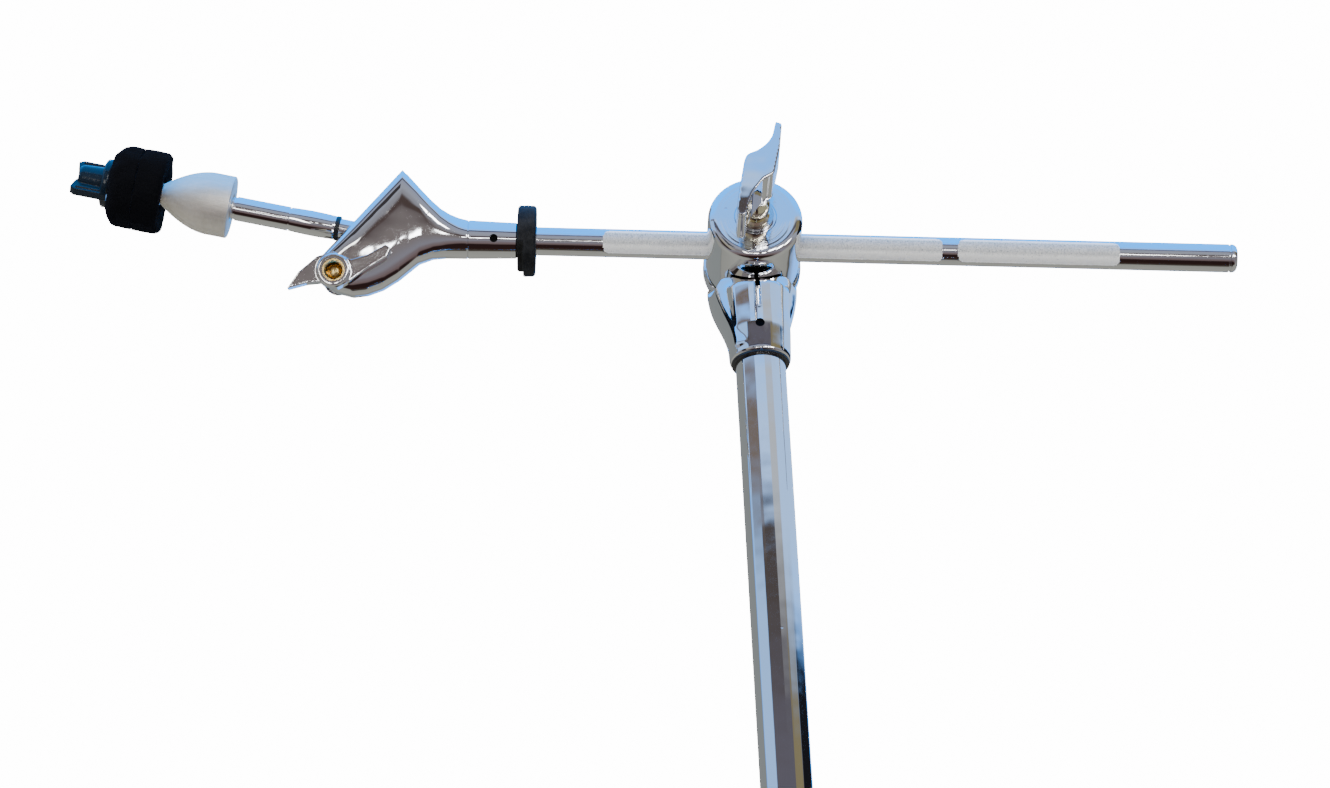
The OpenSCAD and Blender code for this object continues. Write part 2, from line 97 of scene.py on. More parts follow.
def make_camera():
    data = bpy.data.cameras.new("camera")
    data.sensor_width = SENSOR_MM
    data.lens = LENS_MM
    cam = bpy.data.objects.new("camera", data)
    back = Vector((
        math.sin(CAMERA_TURN) * math.cos(CAMERA_RISE),
        -math.cos(CAMERA_TURN) * math.cos(CAMERA_RISE),
        math.sin(CAMERA_RISE),
    ))
    right = (-back).cross(Vector((0, 0, 1))).normalized()
    up = right.cross(-back)
    c, s = math.cos(CAMERA_ROLL), math.sin(CAMERA_ROLL)
    turned_right = c * right + s * up
    turned_up = -s * right + c * up
    m = Matrix((turned_right, turned_up, back)).transposed().to_4x4()
    m.translation = AIM + back * CAMERA_DISTANCE
    cam.matrix_world = m
    bpy.context.collection.objects.link(cam)
    bpy.context.scene.camera = cam


# What mirrors see: bands from the ground below (-90) over the horizon (0) to the zenith (90)
FRONT_BANDS = [
    (-90, (0.03, 0.014, 0.012)), (-58, (0.025, 0.012, 0.012)), (-52, (0.17, 0.12, 0.12)),
    (-44, (0.20, 0.16, 0.17)), (-34, (0.25, 0.24, 0.28)), (-17, (0.22, 0.19, 0.185)),
    (-8, (0.30, 0.30, 0.34)), (2, (0.38, 0.40, 0.48)), (19, (0.34, 0.37, 0.50)), (21, (0.05, 0.05, 0.09)),
    (24, (0.13, 0.12, 0.15)), (27, (0.085, 0.07, 0.065)), (28.4, (0.6, 0.95, 1.6)),
    (31, (0.26, 0.82, 2.0)), (42, (0.03, 0.92, 2.9)), (90, (0.03, 0.95, 3.0)),
]
BACK_BANDS = [
    (-90, (0.05, 0.03, 0.025)), (-80, (0.07, 0.06, 0.05)), (-72, (0.36, 0.36, 0.32)),
    (-30, (0.40, 0.40, 0.36)), (-4, (0.34, 0.34, 0.31)), (0, (0.10, 0.09, 0.08)),
    (4, (0.30, 0.45, 0.75)), (14, (0.30, 0.85, 2.1)), (35, (0.04, 0.92, 2.8)), (90, (0.03, 0.95, 3.0)),
]
# Things in the yard: azimuths from the front towards +X, then elevations and softness in degrees, and colour
YARD = [
    (-92, -43, 12, 27.6, 3.2, (0.42, 0.75, 1.35)),
    (-84, -30, 27.4, 29.6, 2.0, (0.20, 0.16, 0.14)),
    (16, 70, 26.6, 30.0, 4.0, (0.62, 0.66, 0.72)),
    (48, 176, 25.6, 30.5, 4.0, (0.55, 0.90, 1.55)),
    (40, 78, 8, 25.6, 3.0, (0.26, 0.22, 0.12)),
    (80, 146, 2, 25.8, 1.2, (0.012, 0.012, 0.016)),
    (-172, -95, -2, 46, 2.5, (0.27, 0.29, 0.29)),
    (-182, -168, -2, 27.6, 2.5, (0.27, 0.29, 0.29)),
    # Small windows low in front, for the knuckle's cheek, and a streak and a dark patch for the post
    (-6.6, -5.6, -19.8, -18.2, 0.4, (12.0, 12.0, 12.0)),
    (-4.4, -3.2, -19.8, -18.2, 0.4, (12.0, 12.0, 12.0)),
    (-1.4, 4.6, -20.0, -18.0, 0.5, (12.0, 12.0, 12.0)),
    (8.5, 13, -19.6, -16.8, 0.5, (12.0, 12.0, 12.0)),
    (-13.5, -9.6, -31, -12, 0.8, (7.0, 6.8, 6.4)),
    (-9, 9, -15, -9, 4.0, (0.085, 0.06, 0.055)),
    # Taller windows, walls and doors near the horizon
    (-30, -19, -6, 12, 1.0, (0.05, 0.045, 0.05)),
    (14, 21, -13, -2, 0.8, (12.0, 12.0, 12.0)),
    (25, 33, -15, -3, 0.8, (12.0, 12.0, 12.0)),
    (38, 50, -12, 0, 0.8, (12.0, 12.0, 12.0)),
    (-52, -34, -30, 4, 1.5, (0.42, 0.38, 0.30)),
    (-70, -54, -34, 8, 1.5, (0.03, 0.022, 0.018)),
]
SIDE_BLEND = 0.12                   # half the width of the blend between the front and the back, out of 1
EVEN_GROUND = (0.55, 0.55, 0.54)    # what matt surfaces are lit by, from below and from above
EVEN_SKY = (1.0, 1.02, 1.05)
EVEN_STRENGTH = 0.9
BACKDROP_STRENGTH = 15.0
FLOOR_HALF = 6


def make_world():
    """White to the camera, soft and even on matt surfaces, and a yard under a blue sky to mirrors."""
    world = bpy.data.worlds.new("studio")
    world.use_nodes = True
    bpy.context.scene.world = world
    t = world.node_tree
    t.nodes.clear()

    def calc(operation, first, second=0.0):
        return maths(t, operation, first, second)

    def ease(value, start, end):
        node = t.nodes.new("ShaderNodeMapRange")
        node.interpolation_type = "SMOOTHSTEP"
        node.inputs["From Min"].default_value = start
        node.inputs["From Max"].default_value = end
        put(t, node.inputs["Value"], value)
        return node.outputs["Result"]

    def outside(value, low, high):
        """How far a value is outside a range: less than zero within it."""
        off_middle = calc("ABSOLUTE", calc("SUBTRACT", value, (low + high) / 2))
        return calc("SUBTRACT", off_middle, (high - low) / 2)

    def bands(level, stops):
        colour = stops[0][1]
        for (low, _), (high, after) in zip(stops, stops[1:]):
            colour = blend_colours(t, ease(level, low, high), colour, after)
        return colour

    def background(colour, strength=1.0):
        node = t.nodes.new("ShaderNodeBackground")
        put(t, node.inputs["Color"], colour)
        node.inputs["Strength"].default_value = strength
        return node.outputs[0]

    def choose(factor, first, second):
        node = t.nodes.new("ShaderNodeMixShader")
        for socket, value in zip(node.inputs, (factor, first, second)):
            put(t, socket, value)
        return node.outputs[0]

    coord = t.nodes.new("ShaderNodeTexCoord")
    parts = t.nodes.new("ShaderNodeSeparateXYZ")
    t.links.new(coord.outputs["Generated"], parts.inputs[0])
    x, y, z = parts.outputs
    toward = calc("MULTIPLY", y, -1.0)
    degrees = 180 / math.pi
    azimuth = calc("MULTIPLY", calc("ARCTAN2", x, toward), degrees)
    level = calc("MULTIPLY", calc("ARCSINE", z), degrees)
    yard = blend_colours(t, ease(toward, -SIDE_BLEND, SIDE_BLEND), bands(level, BACK_BANDS),
                         bands(level, FRONT_BANDS))
    for left, right, low, high, soft, colour in YARD:
        off = calc("MAXIMUM", outside(azimuth, left, right), outside(level, low, high))
        yard = blend_colours(t, ease(off, soft / 2, -soft / 2), yard, colour)
    even = blend_colours(t, ease(z, -0.6, 0.6), EVEN_GROUND, EVEN_SKY)
    path = t.nodes.new("ShaderNodeLightPath")
    lit = choose(path.outputs["Is Diffuse Ray"], background(yard), background(even, EVEN_STRENGTH))
    seen = choose(path.outputs["Is Camera Ray"], lit, background((1, 1, 1), BACKDROP_STRENGTH))
    out = t.nodes.new("ShaderNodeOutputWorld")
    t.links.new(seen, out.inputs["Surface"])


def area_light(name, place, target, size, power, colour):
    """A soft lamp that mirrors don't see."""
    data = bpy.data.lights.new(name, "AREA")
    data.shape = "RECTANGLE"
    data.size, data.size_y = size
    data.energy = power
    data.color = colour
    lamp = bpy.data.objects.new(name, data)
    lamp.location = place
    aim = Vector(target) - Vector(place)
    lamp.rotation_euler = aim.to_track_quat("-Z", "Y").to_euler()
    lamp.visible_glossy = False
    bpy.context.collection.objects.link(lamp)


def make_lights():
    area_light("soft_front", (-0.4, -3.2, 2.3), (0, 0, 1.0), (1.8, 1.4), 130, (1.0, 0.99, 0.96))
    area_light("soft_key", (-2.0, -2.2, 3.2), (0, 0, 0.9), (1.8, 1.8), 110, (1.0, 0.98, 0.95))
    area_light("soft_fill", (2.4, 1.6, 2.6), (0, 0, 0.8), (1.5, 1.5), 25, (0.92, 0.96, 1.0))


def make_floor():
    bm = bmesh.new()
    bmesh.ops.create_grid(bm, x_segments=1, y_segments=1, size=FLOOR_HALF)
    mesh = bpy.data.meshes.new("floor")
    bm.to_mesh(mesh)
    bm.free()
    floor = bpy.data.objects.new("floor", mesh)
    bpy.context.collection.objects.link(floor)
    floor.data.materials.append(MATERIALS["floor"])
    floor.visible_glossy = False


# ---------- Materials ----------

def shader(name, **sockets):
    """A material with one Principled shader, whose constant sockets are set here."""
    mat = bpy.data.materials.new(name)
    mat.use_nodes = True
    bsdf = mat.node_tree.nodes["Principled BSDF"]
    for socket, value in sockets.items():
        bsdf.inputs[socket.replace("_", " ")].default_value = value
    return mat, mat.node_tree, bsdf


def put(tree, socket, value):
    """Link a socket to another, or set its constant: a number or a colour of three."""
    if isinstance(value, bpy.types.NodeSocket):
        tree.links.new(value, socket)
    elif socket.type == "RGBA":
        socket.default_value = (*value, 1)
    else:
        socket.default_value = value


def maths(tree, operation, *values):
    """A maths node over sockets and numbers."""
    node = tree.nodes.new("ShaderNodeMath")
    node.operation = operation
    for socket, value in zip(node.inputs, values):
        put(tree, socket, value)
    return node.outputs[0]


def coordinates(tree, stretch=(1, 1, 1), attribute=None):
    """Texture coordinates in millimetres, stretched, from the frame or a piece's own attribute."""
    if attribute:
        source = tree.nodes.new("ShaderNodeAttribute")
        source.attribute_name = attribute
        vector, unit = source.outputs["Vector"], 1
    else:
        source = tree.nodes.new("ShaderNodeTexCoord")
        vector, unit = source.outputs["Object"], 1 / MM
    mapping = tree.nodes.new("ShaderNodeMapping")
    mapping.inputs["Scale"].default_value = [unit * s for s in stretch]
    tree.links.new(vector, mapping.inputs["Vector"])
    return mapping.outputs["Vector"]


def noise(tree, vector, scale, detail=3.0, roughness=0.5):
    node = tree.nodes.new("ShaderNodeTexNoise")
    node.inputs["Scale"].default_value = scale
    node.inputs["Detail"].default_value = detail
    node.inputs["Roughness"].default_value = roughness
    tree.links.new(vector, node.inputs["Vector"])
    return node.outputs["Fac"]


def spread(tree, value, low, high, from_low=0.35, from_high=0.65):
    """Map a value's range, by default the middle of a noise, onto low to high."""
    node = tree.nodes.new("ShaderNodeMapRange")
    node.inputs["From Min"].default_value = from_low
    node.inputs["From Max"].default_value = from_high
    node.inputs["To Min"].default_value = low
    node.inputs["To Max"].default_value = high
    tree.links.new(value, node.inputs["Value"])
    return node.outputs["Result"]


def blend_colours(tree, value, first, second):
    node = tree.nodes.new("ShaderNodeMix")
    node.data_type = "RGBA"
    for key, what in (("Factor", value), ("A", first), ("B", second)):
        put(tree, node.inputs[key], what)
    return node.outputs["Result"]


def colour_by(tree, bsdf, value, first, second):
    tree.links.new(blend_colours(tree, value, first, second), bsdf.inputs["Base Color"])


def roughness_by(tree, bsdf, value, low, high):
    tree.links.new(spread(tree, value, low, high), bsdf.inputs["Roughness"])


def bump(tree, bsdf, height, distance_mm):
    node = tree.nodes.new("ShaderNodeBump")
    node.inputs["Distance"].default_value = distance_mm * MM
    tree.links.new(height, node.inputs["Height"])
    tree.links.new(node.outputs["Normal"], bsdf.inputs["Normal"])


def spots(tree, vector, scale, size):
    """One where a sparse fleck is, and zero elsewhere."""
    cells = tree.nodes.new("ShaderNodeTexVoronoi")
    cells.inputs["Scale"].default_value = scale
    tree.links.new(vector, cells.inputs["Vector"])
    return spread(tree, cells.outputs["Distance"], 1.0, 0.0, size * 0.6, size)


PLATE = (0.86, 0.87, 0.89)


def chrome_material(name, tint, wave_mm, haze):
    """Mirror plate: slow waves from polishing, faint haze and a few tiny pits."""
    mat, tree, bsdf = shader(name, Metallic=1.0)
    at = coordinates(tree)
    cloud = noise(tree, at, 0.06, 4)
    colour_by(tree, bsdf, cloud, tint, [c * 0.94 for c in tint])
    roughness_by(tree, bsdf, noise(tree, at, 0.35, 5, 0.6), haze, haze * 2.6)
    pits = spots(tree, at, 0.045, 0.028)
    waves = noise(tree, at, 0.075, 1)
    bump(tree, bsdf, maths(tree, "MULTIPLY_ADD", pits, -0.35, waves), wave_mm)
    return mat


def drum_material():
    """The drum's plate, with faint turning rings round its axis."""
    mat = chrome_material("drum_chrome", PLATE, 0.10, 0.03)
    tree = mat.node_tree
    bsdf = tree.nodes["Principled BSDF"]
    source = tree.nodes.new("ShaderNodeAttribute")
    source.attribute_name = "local"
    flat = tree.nodes.new("ShaderNodeVectorMath")
    flat.operation = "MULTIPLY"
    flat.inputs[1].default_value = (1, 0, 1)
    tree.links.new(source.outputs["Vector"], flat.inputs[0])
    radius = tree.nodes.new("ShaderNodeVectorMath")
    radius.operation = "LENGTH"
    tree.links.new(flat.outputs["Vector"], radius.inputs[0])
    rings = tree.nodes.new("ShaderNodeTexNoise")
    rings.noise_dimensions = "1D"
    rings.inputs["Scale"].default_value = 0.9
    rings.inputs["Detail"].default_value = 3
    tree.links.new(radius.outputs["Value"], rings.inputs["W"])
    second = tree.nodes.new("ShaderNodeBump")
    second.inputs["Distance"].default_value = 0.03 * MM
    tree.links.new(rings.outputs["Fac"], second.inputs["Height"])
    first = bsdf.inputs["Normal"].links[0].from_socket
    tree.links.new(first, second.inputs["Normal"])
    tree.links.new(second.outputs["Normal"], bsdf.inputs["Normal"])
    return mat


def frosted_material():
    """The knurled patches' matt plate, with a painted highlight along both edges over a random grain; the
    crossed ridges are in the mesh.
    """
    mat, tree, bsdf = shader("knurl_frost", Metallic=0.45, IOR=1.6)
    at = coordinates(tree, attribute="local")
    grain = noise(tree, at, 1.5, 5, 0.75)
    part = tree.nodes.new("ShaderNodeSeparateXYZ")
    tree.links.new(at, part.inputs["Vector"])
    height = part.outputs["Z"]
    # Painted highlight: the colour lightens by height towards the patches' upper and lower edges
    upper, lower = spread(tree, height, 0, 0.8, 1.4, 2.5), spread(tree, height, 0.8, 0, -4.4, -3.0)
    edges = maths(tree, "MAXIMUM", upper, lower)
    # The painted edge highlight, plus a random grain tone
    light = maths(tree, "ADD", edges, spread(tree, grain, 0, 0.5))
    light.node.use_clamp = True
    colour_by(tree, bsdf, light, (0.30, 0.30, 0.30), (1.0, 0.985, 0.93))
    roughness_by(tree, bsdf, grain, 0.26, 0.48)
    bump(tree, bsdf, grain, 0.22)
    return mat


def brushed_material():
    """Aluminium brushed along the seat, with the scratches crossing a little."""
    mat, tree, bsdf = shader("brushed_aluminium", Metallic=0.86)
    fine = noise(tree, coordinates(tree, (0.12, 1.6, 1.6), "local"), 1.6, 6, 0.72)
    broad = noise(tree, coordinates(tree, (0.05, 0.4, 0.4), "local"), 1.0, 3)
    # A warm cream colour: partly the aluminium's own tone, partly a painted reflection of the warm band the
    # seat mirrors; the broad noise varies it at random
    colour_by(tree, bsdf, broad, (0.74, 0.69, 0.60), (0.94, 0.89, 0.79))
    roughness_by(tree, bsdf, fine, 0.30, 0.50)
    bump(tree, bsdf, fine, 0.16)
    return mat


def rubber_material():
    """Moulded black rubber with a fine grain and a little dust."""
    mat, tree, bsdf = shader("black_rubber", IOR=1.2)
    at = coordinates(tree)
    grain = noise(tree, at, 1.3, 6, 0.65)
    dust = noise(tree, at, 0.12, 4, 0.6)
    colour_by(tree, bsdf, spread(tree, dust, 0, 1), (0.004, 0.004, 0.0045), (0.014, 0.014, 0.015))
    roughness_by(tree, bsdf, grain, 0.42, 0.62)
    bump(tree, bsdf, grain, 0.08)
    return mat


def nylon_material():
    """Near-black nylon, smoother than the rubber."""
    mat, tree, bsdf = shader("black_nylon", IOR=1.53)
    at = coordinates(tree)
    grain = noise(tree, at, 2.2, 3)
    colour_by(tree, bsdf, grain, (0.003, 0.003, 0.0035), (0.009, 0.009, 0.010))
    roughness_by(tree, bsdf, grain, 0.30, 0.42)
    bump(tree, bsdf, grain, 0.02)
    return mat


def gloss_material():
    """Moulded near-black plastic with a painted blue sheen in its colour, a faint orange peel and fine
    scuffs.
    """
    mat, tree, bsdf = shader("gloss_black_plastic", IOR=1.38, Coat_Weight=0.12, Coat_Roughness=0.08)
    at = coordinates(tree, attribute="local")
    peel = noise(tree, at, 0.5, 2)
    scuff = noise(tree, at, 2.6, 5, 0.7)
    # Near-black with a painted blue sheen tint; the scuff noise lightens it at random
    colour_by(tree, bsdf, scuff, (0.001, 0.003, 0.007), (0.003, 0.010, 0.018))
    roughness_by(tree, bsdf, scuff, 0.10, 0.24)
    bump(tree, bsdf, peel, 0.08)
    return mat


def felt_material():
    """Dense black wool: matted fibres with a faint sheen."""
    mat, tree, bsdf = shader("black_felt", Roughness=0.95, IOR=1.1, Sheen_Weight=0.04,
                             Sheen_Roughness=0.4, Sheen_Tint=(0.20, 0.25, 0.40, 1))
    at = coordinates(tree, attribute="local")
    fibre = noise(tree, at, 1.8, 8, 0.75)
    lumps = noise(tree, at, 0.25, 3)
    colour_by(tree, bsdf, fibre, (0.0006, 0.0006, 0.0008), (0.004, 0.004, 0.005))
    bump(tree, bsdf, maths(tree, "MULTIPLY_ADD", fibre, 0.6, lumps), 0.7)
    return mat


def metal_material(name, dark, light, low, high, grain_mm):
    """Screws and nuts: one fine grain in colour, roughness and height."""
    mat, tree, bsdf = shader(name, Metallic=1.0)
    grain = noise(tree, coordinates(tree), 1.1, 5, 0.65)
    colour_by(tree, bsdf, grain, dark, light)
    roughness_by(tree, bsdf, grain, low, high)
    bump(tree, bsdf, grain, grain_mm)
    return mat


def floor_material():
    mat, tree, bsdf = shader("pale_floor", Roughness=0.75)
    mottle = noise(tree, coordinates(tree), 0.004, 4)
    colour_by(tree, bsdf, mottle, (0.62, 0.605, 0.58), (0.66, 0.645, 0.62))
    return mat


def make_materials():
    return {
        "chrome": chrome_material("chrome", PLATE, 0.05, 0.018),
        "cast_chrome": chrome_material("cast_chrome", PLATE, 0.16, 0.022),
        "rod_chrome": chrome_material("rod_chrome", (0.84, 0.85, 0.87), 0.05, 0.05),
        "drum_chrome": drum_material(),
        "frost": frosted_material(),
        "brushed": brushed_material(),
        "rubber": rubber_material(),
        "nylon": nylon_material(),
        "gloss": gloss_material(),
        "felt": felt_material(),
        "steel": metal_material("bright_steel", (0.56, 0.57, 0.58), (0.72, 0.73, 0.74), 0.14, 0.26, 0.02),
        # Near-black steel: painted shade, for the set screws' holes and the sleeve's open top
        "black_steel": metal_material("black_steel", (0.004, 0.004, 0.004), (0.012, 0.012, 0.012), 0.35, 0.6,
                                      0.02),
        "brass": metal_material("brass", (0.62, 0.42, 0.14), (0.86, 0.66, 0.30), 0.10, 0.24, 0.05),
        "pale_brass": metal_material("pale_brass", (0.74, 0.66, 0.44), (0.92, 0.86, 0.68), 0.06, 0.16,
                                     0.03),
        "floor": floor_material(),
    }


# The record's material slots, and the material that each gets here
SLOT_LOOKS = {
    "chrome": "chrome", "rod_chrome": "rod_chrome", "bright_steel": "steel", "brass": "brass",
    "seat_aluminium": "brushed", "rubber": "rubber", "nylon": "nylon", "felt": "felt",
    "nut_plastic": "gloss",
}
# Steel set screws given a near-black material: painted shade for the dark holes they sit in
SHADED_SCREWS = ("clamp_set_screw", "knuckle_set_screw")


def dress_cad_nodes():
    """Give every CAD node its material, by the record's slots, and paint the set screws near-black as shade
    in their holes.
    """
    for part in frame["record"]["subparts"]:
        mesh_object = frame["nodes"][part["node"]]
        look = MATERIALS[SLOT_LOOKS[part["material_slot"]]]
        # Painted shade: the set screws take the near-black steel for the dark holes they sit in
        if part["node"] in SHADED_SCREWS:
            look = MATERIALS["black_steel"]
        if not mesh_object.material_slots:
            mesh_object.data.materials.append(look)
        for entry in mesh_object.material_slots:
            entry.material = look


# ---------- Shapes that repeat ----------

WELD_MM = 1e-4


def unit_vectors(count):
    """Directions round a circle, as (cosine, sine) pairs."""
    return [(math.cos(2 * math.pi * k / count), math.sin(2 * math.pi * k / count)) for k in range(count)]


def smooth(t):
    """A number from 0 to 1, with a soft start and a soft end."""
    return t * t * (3 - 2 * t)


def squared_off(value, power):
    """A sine or cosine that makes a circle squarer when the power is under one."""
    return math.copysign(abs(value) ** power, value)


def new_object(name, verts, faces):
    mesh = bpy.data.meshes.new(name)
    mesh.from_pydata([Vector(v) for v in verts], [], faces)
    obj = bpy.data.objects.new(name, mesh)
    bpy.context.collection.objects.link(obj)
    return obj


def piece(name, verts, faces, place, look, body, stands_for=(), sharp_deg=35.0):
    """A mesh from local millimetres, settled on its body."""
    obj = new_object(name, verts, faces)
    settle(obj, place, look, body, stands_for, sharp_deg)
    return obj


def settle(obj, place, look, body, stands_for=(), sharp_deg=35.0):
    """Clean a local mesh, keep its millimetres as an attribute, move it to the frame and ride it."""
    mesh = obj.data
    bm = bmesh.new()
    bm.from_mesh(mesh)
    bmesh.ops.remove_doubles(bm, verts=bm.verts, dist=WELD_MM)
    bmesh.ops.recalc_face_normals(bm, faces=bm.faces)
    for edge in bm.edges:
        edge.smooth = edge.calc_face_angle(0) < math.radians(sharp_deg)
    for face in bm.faces:
        face.smooth = True
    bm.to_mesh(mesh)
    bm.free()
    store = mesh.attributes.new("local", "FLOAT_VECTOR", "POINT")
    for vertex in mesh.vertices:
        store.data[vertex.index].vector = vertex.co
    mesh.transform(place)
    mesh.update()
    mesh.materials.clear()
    mesh.materials.append(MATERIALS[look])
    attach(obj, body)
    if stands_for:
        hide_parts(*stands_for)


def apply_modifiers(obj):
    """Bake an object's modifiers into its mesh."""
    graph = bpy.context.evaluated_depsgraph_get()
    baked = bpy.data.meshes.new_from_object(obj.evaluated_get(graph))
    obj.modifiers.clear()
    old = obj.data
    obj.data = baked
    bpy.data.meshes.remove(old)


def loft(rings, closed_path=False):
    """Vertices and faces through rings of as many points each: capped, or joined end to start."""
    count = len(rings[0])
    verts = [p for ring in rings for p in ring]
    faces = []
    last = len(rings) if closed_path else len(rings) - 1
    for i in range(last):
        a, b = i * count, (i + 1) % len(rings) * count
        for k in range(count):
            m = (k + 1) % count
            faces.append((a + k, b + k, b + m, a + m))
    if not closed_path:
        faces.append(tuple(range(count)))
        faces.append(tuple(len(verts) - count + k for k in reversed(range(count))))
    return verts, faces


def turned(profile, count=64, close=True):
    """A shape turned round X from (x, radius) points: capped at both ends, or a ring if not closed."""
    rings = [[(x, r * s, r * c) for c, s in unit_vectors(count)] for x, r in profile]
    return loft(rings, closed_path=not close)


def fillet(points, size, steps=4):
    """Round the inner corners of an open polyline of (x, y) points; size may be a list."""
    result = [points[0]]
    sizes = size if isinstance(size, list) else [size] * len(points)
    for before, corner, after, size in zip(points, points[1:], points[2:], sizes):
        b, c, a = Vector(before), Vector(corner), Vector(after)
        into, out = (b - c), (a - c)
        cut = min(size, into.length * 0.45, out.length * 0.45)
        start, end = c + into.normalized() * cut, c + out.normalized() * cut
        for k in range(steps + 1):
            t = k / steps
            result.append(tuple((1 - t) ** 2 * start + 2 * t * (1 - t) * c + t ** 2 * end))
    result.append(points[-1])
    return result


def temporary(name, verts, faces):
    """A working solid in local millimetres, with its faces turned outwards."""
    obj = new_object(name, verts, faces)
    bm = bmesh.new()
    bm.from_mesh(obj.data)
    bmesh.ops.recalc_face_normals(bm, faces=bm.faces)
    bm.to_mesh(obj.data)
    bm.free()
    return obj


def discard(*objects):
    for obj in objects:
        mesh = obj.data
        bpy.data.objects.remove(obj)
        bpy.data.meshes.remove(mesh)


def carve(obj, *cutters):
    """Cut closed temporary solids out of an object."""
    for cutter in cutters:
        add_modifier(obj, "BOOLEAN", operation="DIFFERENCE", solver="EXACT", object=cutter)
    apply_modifiers(obj)
    discard(*cutters)


def add_modifier(obj, kind, **settings):
    modifier = obj.modifiers.new(kind.lower(), kind)
    for key, value in settings.items():
        setattr(modifier, key, value)


def box_solid(low, high):
    corners = [(x, y, z) for x in (low[0], high[0]) for y in (low[1], high[1]) for z in (low[2], high[2])]
    faces = [(0, 1, 3, 2), (4, 6, 7, 5), (0, 4, 5, 1), (2, 3, 7, 6), (0, 2, 6, 4), (1, 5, 7, 3)]
    return temporary("cutter_box", corners, faces)


def rod_solid(start, end, radius, count=64):
    """A temporary straight cylinder between two local points."""
    a, b = Vector(start), Vector(end)
    along = (b - a).normalized()
    side = along.orthogonal().normalized()
    other = along.cross(side)
    rings = [[tuple(p + radius * (c * side + s * other)) for c, s in unit_vectors(count)] for p in (a, b)]
    return temporary("cutter_rod", *loft(rings))


def prism(outline, low, high):
    """A temporary solid: an outline in local X and Z, standing from y = low to y = high."""
    return temporary("prism", *loft([[(x, y, z) for x, z in outline] for y in (low, high)]))


def cast(name, solids, voxel, smoothing, cutters):
    """Fuse temporary solids into one skin with soft fillets, then cut its machined faces."""
    bpy.ops.object.select_all(action="DESELECT")
    for solid in solids:
        solid.select_set(True)
    bpy.context.view_layer.objects.active = solids[0]
    if len(solids) > 1:
        bpy.ops.object.join()
    obj = solids[0]
    obj.name = name
    add_modifier(obj, "REMESH", mode="VOXEL", voxel_size=voxel, use_smooth_shade=True)
    add_modifier(obj, "SMOOTH", factor=0.5, iterations=smoothing)
    apply_modifiers(obj)
    carve(obj, *cutters)
    return obj


# ---------- Boom rod ----------

ROD_R = 6.35
ROD_START = -131.0
ROD_TAIL = 216.0
TAIL_ROUND = 2.4
GROOVE_INSET = 3.4
GROOVE_DEPTH = 0.4
KNURLED = [(-67.0, 84.3), (91.0, 163.2)]
KNURL_AIM = math.radians(25)    # how far under the horizontal the front patches face; the back ones, over it
KNURL_HALF = 6.1                # half of a patch's width round the rod
KNURL_CORNER = 3.2
KNURL_COUNT = 28
KNURL_DEPTH = 0.26
KNURL_STEP = 0.5
KNURL_FADE = 0.7                # how far in from a patch's edge the knurl reaches its full depth
FROST_FROM = 0.35               # how much knurl a face has to have to look frosted


def knurl_at(x, y, z):
    """How much of the knurl there is at a point: all of it in a patch with round corners."""
    turn = abs(math.remainder(math.atan2(z, y) - KNURL_AIM, math.pi))
    inside = -99.0
    for start, end in KNURLED:
        over_x = abs(x - (start + end) / 2) - (end - start) / 2 + KNURL_CORNER
        over_turn = turn * ROD_R - KNURL_HALF + KNURL_CORNER
        reach = math.hypot(max(over_x, 0), max(over_turn, 0)) + min(max(over_x, over_turn), 0)
        inside = max(inside, KNURL_CORNER - reach)
    return min(max(inside / KNURL_FADE, 0.0), 1.0)


def make_boom_rod():
    """A bright bar with diamond-knurled patches, a groove near the tail and a rounded tail."""
    per_ridge = 4
    count = KNURL_COUNT * per_ridge
    pitch = 2 * math.pi * ROD_R / KNURL_COUNT
    stations = [(ROD_START, ROD_R)]
    x = KNURLED[0][0] - KNURL_STEP
    while x < KNURLED[-1][1] + KNURL_STEP:
        stations.append((x, ROD_R))
        x += KNURL_STEP
    groove, bottom = ROD_TAIL - GROOVE_INSET, ROD_R - GROOVE_DEPTH
    stations += [(groove - 0.5, ROD_R), (groove - 0.3, bottom), (groove + 0.3, bottom), (groove + 0.5, ROD_R)]
    stations += [(ROD_TAIL - TAIL_ROUND * (1 - math.sin(a)), ROD_R - TAIL_ROUND * (1 - math.cos(a)))
                 for a in map(math.radians, range(0, 91, 15))]
    rings = []
    for x, r in stations:
        ring = []
        for k, (c, s) in enumerate(unit_vectors(count)):
            turn = k / per_ridge
            slip = x / pitch
            ridge = max(math.cos(2 * math.pi * (turn + slip)), math.cos(2 * math.pi * (turn - slip)))
            radius = r - knurl_at(x, r * s, r * c) * KNURL_DEPTH * (0.5 - 0.5 * ridge)
            ring.append((x, radius * s, radius * c))
        rings.append(ring)
    rod = piece("boom_rod_skin", *loft(rings), BOOM, "rod_chrome", "boom", ["boom_rod"], 50)
    rod.data.materials.append(MATERIALS["frost"])
    local = rod.data.attributes["local"].data
    for face in rod.data.polygons:
        points = [local[v].vector for v in face.vertices]
        if len(points) == 4 and knurl_at(*(sum(points, Vector()) / 4)) > FROST_FROM:
            face.material_index = 1


# ---------- Knuckle ----------

